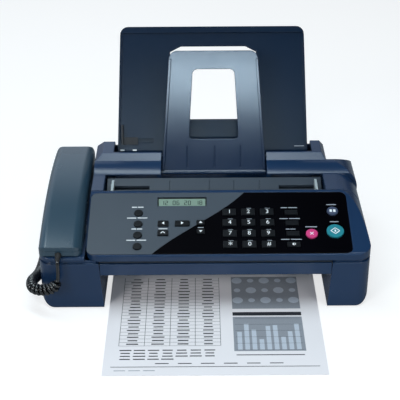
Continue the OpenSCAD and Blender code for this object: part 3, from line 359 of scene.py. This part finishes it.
def tube(name, line, radii, sides, material):
    """A capped tube whose radius runs evenly through the radii, from the line's start to its end."""
    last = len(line) - 1
    points, faces = [], []
    for i, (q, (u, v)) in enumerate(zip(line, side_pairs(line))):
        at = i / last * (len(radii) - 1)
        k = min(int(at), len(radii) - 2)
        r = radii[k] + (radii[k + 1] - radii[k]) * (at - k)
        for j in range(sides):
            a = 2 * math.pi * j / sides
            points.append(q + (u * math.cos(a) + v * math.sin(a)) * r)
    for i in range(last):
        for k in range(sides):
            j = (k + 1) % sides
            faces.append((i * sides + k, i * sides + j, (i + 1) * sides + j, (i + 1) * sides + k))
    faces.append(tuple(range(sides))[::-1])
    faces.append(tuple(last * sides + k for k in range(sides)))
    mesh = bpy.data.meshes.new(name)
    mesh.from_pydata([tuple(p) for p in points], [], faces)
    for p in mesh.polygons:
        p.use_smooth = True
    mesh.materials.append(material)
    piece = bpy.data.objects.new(name, mesh)
    bpy.context.scene.collection.objects.link(piece)
    return piece


cord_line = coil_line()
cord_boot = tube(
    "cord_boot", cord_line[:BOOT_POINTS], [r * MM for r in BOOT_RADII], 16, mats["rubber"]
)
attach(cord_boot, "handset")
cord = tube("coiled_cord", cord_line, [WIRE / 2 * MM] * 2, 8, mats["cord"])
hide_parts("handset_cord")
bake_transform(cord)

# ---------------------------------------------------------------- marks on the keys
# x runs to the right on the panel and s up its slope, from the middle of its front edge
PANEL_SLOPE = 16
PANEL = (
    Matrix.Translation((0, -0.094 + CASING_Y, 0.065))
    @ Matrix.Rotation(math.radians(PANEL_SLOPE), 4, "X")
)
KEY_MARK_Z = 1.56
PANEL_MARK_Z = 0.05


def panel_piece(name, outlines, z, body, material):
    def place(x, s):
        return PANEL @ Vector((x * MM, s * MM, z * MM))

    return flat_piece(name, outlines, place, body, material)


def key_mark(name, outlines, key):
    return panel_piece(name, outlines, KEY_MARK_Z, key, WHITE)


def key_text(name, text, x, s, size, key):
    curve = bpy.data.curves.new(name, "FONT")
    curve.body = text
    curve.size = size * MM
    curve.align_x = "CENTER"
    curve.align_y = "CENTER"
    holder = bpy.data.objects.new(name + "_t", curve)
    mesh = bpy.data.meshes.new_from_object(holder)
    bpy.data.objects.remove(holder)
    mesh.transform(PANEL @ Matrix.Translation((x * MM, s * MM, KEY_MARK_Z * MM)))
    mesh.name = name
    return link(bpy.data.objects.new(name, mesh), key, WHITE)


PAD = ["1", "2", "3", "4", "5", "6", "7", "8", "9", "star", "0", "hash"]
PAD_TEXT = {"star": "*", "hash": "#"}
PAD_X, PAD_S, PITCH_X, PITCH_S = 25.7, 11.0, 19.5, 15.0
FIGURE_SIZE, STAR_SIZE = 7.2, 10
STAR_DROP = 1.2  # the font's star stands above the middle of its line
pad_places = [(PAD_X + PITCH_X * (i % 3), PAD_S + PITCH_S * (3 - i // 3)) for i in range(12)]
for key, (x, s) in zip(PAD, pad_places):
    size, drop = (STAR_SIZE, STAR_DROP) if key == "star" else (FIGURE_SIZE, 0.0)
    text = PAD_TEXT.get(key, key)
    key_text(f"number_{key}_mark", text, x + 0.3, s - drop, size, f"number_key_{key}")

ARROW = [(-2.4, -1.5), (2.4, -1.5), (0, 1.9)]
ARROW_SCALE = 0.8
menu_marks = [
    [moved(ARROW, -42.6, 40.5, math.pi / 2, ARROW_SCALE)],
    stroke([(-45, 26.3), (-42.6, 28.6), (-40.6, 26.6)], 0.9),
    [moved(ARROW, -23, 40.5, -math.pi / 2, ARROW_SCALE)],
    [moved(ARROW, -4, 41.5, 0, ARROW_SCALE)],
    [moved(ARROW, -4, 29, math.pi, ARROW_SCALE)],
]
for number, outlines in enumerate(menu_marks, 1):
    key_mark(f"menu_{number}_mark", outlines, f"menu_key_{number}")

START = (133.3, 28.4)
DIAMOND = [(-4.6, 0), (0, 4.0), (4.6, 0), (0, -4.0), (-4.6, 0)]
key_mark(
    "start_mark",
    stroke(moved(DIAMOND, *START), 0.9) + [bar(*START, 1.6, 3.0)],
    "start_key",
)
CANCEL = (109.2, 25.0)
CROSS = ([(-1.7, -1.7), (1.7, 1.7)], [(-1.7, 1.7), (1.7, -1.7)])
key_mark(
    "cancel_mark",
    [quad for line in CROSS for quad in stroke(moved(line, *CANCEL), 0.8)],
    "cancel_key",
)
COPY = (132.9, 56.5)
key_mark(
    "copy_mark",
    [bar(COPY[0] + dx, COPY[1], 2.4, 3.6) for dx in (-1.9, 1.9)],
    "copy_key",
)
SPEAKER = (90.0, 10.6)
CONE = [(-1.6, -0.7), (0.4, -1.9), (0.4, 1.9), (-1.6, 0.7)]
key_mark(
    "side_4_mark",
    [moved(CONE, *SPEAKER), bar(SPEAKER[0] + 1.6, SPEAKER[1], 0.6, 2.6)],
    "side_key_4",
)


# ---------------------------------------------------------------- dashes where a machine has captions
def two_dashes(x, s, w, h, split, gap):
    """A dash w wide around x, with a gap after the first split of it."""
    left = x - w / 2
    return [
        bar(left + w * (a + b) / 2, s, w * (b - a), h) for a, b in ((0.0, split), (split + gap, 1.0))
    ]


dashes = []
for row, w in enumerate((20, 11, 21, 12)):
    dashes += two_dashes(-69.5, 18.3 + 15.4 * row, w, 1.1, 0.45, 0.07)
dashes.append(bar(-42.6, 33.8, 9, 0.9))
panel_piece("slate_captions", dashes, PANEL_MARK_Z, "lid", WHITE)

dashes = [bar(-4, 35.2, 6, 0.9)]
for s, w in ((62.5, 17), (47, 21), (32.3, 10), (18.2, 21)):
    dashes += two_dashes(88, s, w, 1.0, 0.4, 0.07)
dashes += [bar(109.2, 35.3, 12, 1.1), bar(132.5, 66.5, 10, 1.1), bar(133.5, 42.2, 9, 1.1)]
dashes += [bar(x + 1, s + 6.0, 5, 0.5) for x, s in pad_places[1:]]
panel_piece("gloss_captions", dashes, PANEL_MARK_Z, "lid", SOFT_WHITE)

# ---------------------------------------------------------------- display
DISPLAY_X, DISPLAY_S, DISPLAY_W, DISPLAY_D = -23.3, 72.5, 51.5, 13.0
BEZEL_GAP = 0.3
BEZEL_SIDE, BEZEL_LOW, BEZEL_HIGH = 1.1, 0.6, 1.6
BEZEL_Z, DIGIT_Z = -0.9, -0.93
x1, s1 = DISPLAY_W / 2 - BEZEL_GAP, DISPLAY_D / 2 - BEZEL_GAP
x2, low, high = x1 - BEZEL_SIDE, BEZEL_LOW - s1, s1 - BEZEL_HIGH
outer = [(-x1, -s1), (x1, -s1), (x1, s1), (-x1, s1)]
inner = [(-x2, low), (x2, low), (x2, high), (-x2, high)]
rim = []
for k in range(4):
    n = (k + 1) % 4
    rim.append(moved([outer[k], outer[n], inner[n], inner[k]], DISPLAY_X, DISPLAY_S))
panel_piece("display_bezel", rim, BEZEL_Z, "lid", BEZEL)

DIGIT_W, DIGIT_H = 2.3, 5.6
SEGMENTS = {
    "a": [(0, DIGIT_H), (DIGIT_W, DIGIT_H)],
    "b": [(DIGIT_W, DIGIT_H), (DIGIT_W, DIGIT_H / 2)],
    "c": [(DIGIT_W, DIGIT_H / 2), (DIGIT_W, 0)],
    "d": [(0, 0), (DIGIT_W, 0)],
    "e": [(0, 0), (0, DIGIT_H / 2)],
    "f": [(0, DIGIT_H / 2), (0, DIGIT_H)],
    "g": [(0, DIGIT_H / 2), (DIGIT_W, DIGIT_H / 2)],
}
SEGMENT_WIDTH = 0.75
DIGITS = {"0": "abcdef", "1": "bc", "2": "abged", "6": "acdefg", "8": "abcdefg", " ": ""}
DIGIT_PITCH = 4.0
cells = []
for i, digit in enumerate("12 06 20 18"):
    x, s = DISPLAY_X - 21.5 + i * DIGIT_PITCH, DISPLAY_S - 3.9
    for segment in DIGITS[digit]:
        cells += stroke(moved(SEGMENTS[segment], x, s), SEGMENT_WIDTH)
panel_piece("display_digits", cells, DIGIT_Z, "lid", SEGMENT)

# ---------------------------------------------------------------- small marks on the paper support
TRAY_LEAN = 25
TRAY_MARK_PROUD = 0.08
TRAY = (
    Matrix.Translation((0, 0.07644 + CASING_Y, 0.092))
    @ Matrix.Rotation(math.radians(-TRAY_LEAN), 4, "X")
)


def on_tray(x, up):
    return TRAY @ Vector((x * MM, -TRAY_MARK_PROUD * MM, up * MM))


line = [bar(107.5, 5.35, 11, 0.7)]
scale = [bar(-91.5, 1.6, 4.6, 1.6), bar(-77.65, 1.6, 4.5, 1.6)]
flat_piece("support_line", line, on_tray, "base", SOFT_WHITE)
flat_piece("support_scale", scale, on_tray, "base", WHITE)

# ---------------------------------------------------------------- print on the sheet
SHEET_TOP = 0.3


def page(name, outlines, z, material):
    def place(x, y):
        return x * MM, y * MM + CASING_Y, (SHEET_TOP + z) * MM

    return flat_piece(name, outlines, place, "sheet", material)


def rnd(i, j):
    """A repeatable number from 0 to 1."""
    return (math.sin(i * 12.9898 + j * 78.233) * 43758.5453) % 1.0


def disc(x, y, r):
    return [
        (x + r * math.cos(a * math.pi / 12), y + r * math.sin(a * math.pi / 12)) for a in range(24)
    ]


dark, grey, pale = [], [], []
# a table at the left, with a dash in each cell
ROWS, ROW_H, TABLE_Y = 21, 5.6, -45.2
COLUMNS, COLUMN_W, TABLE_X = 4, 25, -85
for r in range(ROWS):
    y = TABLE_Y - r * ROW_H
    for c in range(COLUMNS):
        dark.append(bar(TABLE_X + 13 + c * COLUMN_W, y, 8 + 5 * rnd(r, c), 1.7))
    dark.append(bar(TABLE_X + 50, y - ROW_H / 2, 100, 0.35))
for c in range(COLUMNS + 1):
    dark.append(bar(TABLE_X + c * COLUMN_W, TABLE_Y - 10 * ROW_H, 0.4, ROWS * ROW_H))
# a paragraph under it
for r, words in enumerate((7, 7, 7, 4)):
    for k in range(words):
        dark.append(bar(-78 + k * 13.7, -167 - r * 4.6, 8 + 4 * rnd(r, k + 9), 1.5))
# at the right a block with dots, and a bar chart with its title bar
BLOCK_X, BLOCK_W = 63, 70
grey.append(bar(BLOCK_X, -70, BLOCK_W, 58))
for k in range(5):
    for row, y in enumerate((-48, -66, -84)):
        pale.append(disc(34 + k * 14.5, y, 5.5 - (k + row) % 2 * 2))
dark.append(bar(BLOCK_X, -108, BLOCK_W, 6))
grey.append(bar(BLOCK_X, -141, BLOCK_W, 56))
for k in range(9):
    h = 12 + 30 * abs(math.sin(k * 0.9 + 0.6))
    pale.append(bar(34 + k * 7.2, -167 + h / 2, 4.6, h))
for k in range(6):
    dark.append(bar(BLOCK_X, -115.5 - k * 10.3, 66, 0.3))
dark.append(bar(BLOCK_X, -175, 66, 1.2))
# the foot of the page
dark.append(bar(9, -192.5, 200, 0.8))
for k in range(6):
    dark.append(bar(-42 + k * 22, -187.5, 13, 1.2))
for k in range(3):
    grey.append(bar(-82 + k * 14, -198, 11, 1.0))
page("print_grey", grey, 0.04, GREY_INK)
page("print_pale", pale, 0.07, PALE_INK)
page("print_dark", dark, 0.10, DARK_INK)

# ---------------------------------------------------------------- floor
FLOOR_GLOW = 0.66  # added only for the camera, so that the ground is white and keeps the shadow
bpy.ops.mesh.primitive_plane_add(size=14, location=(0, 2, 0))
floor = bpy.context.object
floor.name = "floor"
m, tree, shader = new_material("floor_white")
shader.inputs["Base Color"].default_value = (0.45, 0.45, 0.45, 1)
shader.inputs["Roughness"].default_value = 0.8
shader.inputs["Specular IOR Level"].default_value = 0.1
camera_ray = tree.nodes.new("ShaderNodeLightPath").outputs["Is Camera Ray"]
glow = tree.nodes.new("ShaderNodeEmission")
glow.inputs["Color"].default_value = (1, 1, 1, 1)
tree.links.new(map_range(tree, camera_ray, 0, 1, 0, FLOOR_GLOW), glow.inputs["Strength"])
add = tree.nodes.new("ShaderNodeAddShader")
tree.links.new(shader.outputs[0], add.inputs[0])
tree.links.new(glow.outputs[0], add.inputs[1])
tree.links.new(add.outputs[0], tree.nodes["Material Output"].inputs[0])
floor.data.materials.append(m)

# ---------------------------------------------------------------- world
# white for the camera; in reflections a room that is light low down and dark from 53 degrees up
world = bpy.data.worlds.new("studio")
bpy.context.scene.world = world
world.use_nodes = True
tree = world.node_tree
tree.nodes.clear()
direction = tree.nodes.new("ShaderNodeSeparateXYZ")
generated = tree.nodes.new("ShaderNodeTexCoord").outputs["Generated"]
tree.links.new(generated, direction.inputs[0])
room_color = color_ramp(
    tree,
    direction.outputs["Z"],
    [
        (0.0, (0.9, 0.93, 1.0)),
        (0.62, (0.62, 0.78, 0.95)),
        (0.80, (0.07, 0.08, 0.10)),
        (1.0, (0.20, 0.23, 0.26)),
    ],
)
darker_in_front = map_range(tree, direction.outputs["Y"], -0.6, 0.6, 0.18, 0.75)
darker_at_right = map_range(tree, direction.outputs["X"], -0.04, 0.14, 1.0, 0.12)
strength = tree.nodes.new("ShaderNodeMath")
strength.operation = "MULTIPLY"
tree.links.new(darker_in_front, strength.inputs[0])
tree.links.new(darker_at_right, strength.inputs[1])
room = tree.nodes.new("ShaderNodeBackground")
tree.links.new(room_color, room.inputs["Color"])
tree.links.new(strength.outputs[0], room.inputs["Strength"])
seen = tree.nodes.new("ShaderNodeBackground")
seen.inputs["Color"].default_value = (1, 1, 1, 1)
mix = tree.nodes.new("ShaderNodeMixShader")
camera_ray = tree.nodes.new("ShaderNodeLightPath").outputs["Is Camera Ray"]
tree.links.new(camera_ray, mix.inputs[0])
tree.links.new(room.outputs[0], mix.inputs[1])
tree.links.new(seen.outputs[0], mix.inputs[2])
world_out = tree.nodes.new("ShaderNodeOutputWorld")
tree.links.new(mix.outputs[0], world_out.inputs[0])


# ---------------------------------------------------------------- lamps
def lamp(name, place, target, size, power, color=(1, 1, 1)):
    """A rectangular lamp; places and sizes in metres, power in watts."""
    data = bpy.data.lights.new(name, "AREA")
    data.shape = "RECTANGLE"
    data.size, data.size_y = size
    data.energy = power
    data.color = color
    obj = bpy.data.objects.new(name, data)
    obj.location = place
    obj.rotation_euler = (Vector(target) - Vector(place)).to_track_quat("-Z", "Y").to_euler()
    bpy.context.scene.collection.objects.link(obj)


lamp("key", (-1.25, -1.5, 1.05), (0, -0.1, 0.04), (0.7, 0.5), 15)
lamp("fill", (1.35, -1.5, 1.00), (0, -0.1, 0.04), (0.7, 0.5), 8)
# seen in the upper half of the document support
lamp("sheen", (-0.10, -1.6, 0.83), (0, 0.06, 0.18), (0.8, 0.12), 4, (0.66, 0.86, 1.0))
lamp("back", (0.0, 1.6, 1.0), (0, 0, 0.08), (2.4, 0.9), 2, (0.92, 0.96, 1.0))
# seen in the two bands of the ridge
lamp("overhead", (-0.08, -0.08, 1.25), (-0.02, 0, 0.08), (1.8, 0.30), 12, (0.80, 0.94, 1.0))

bpy.context.scene.view_settings.view_transform = "Standard"
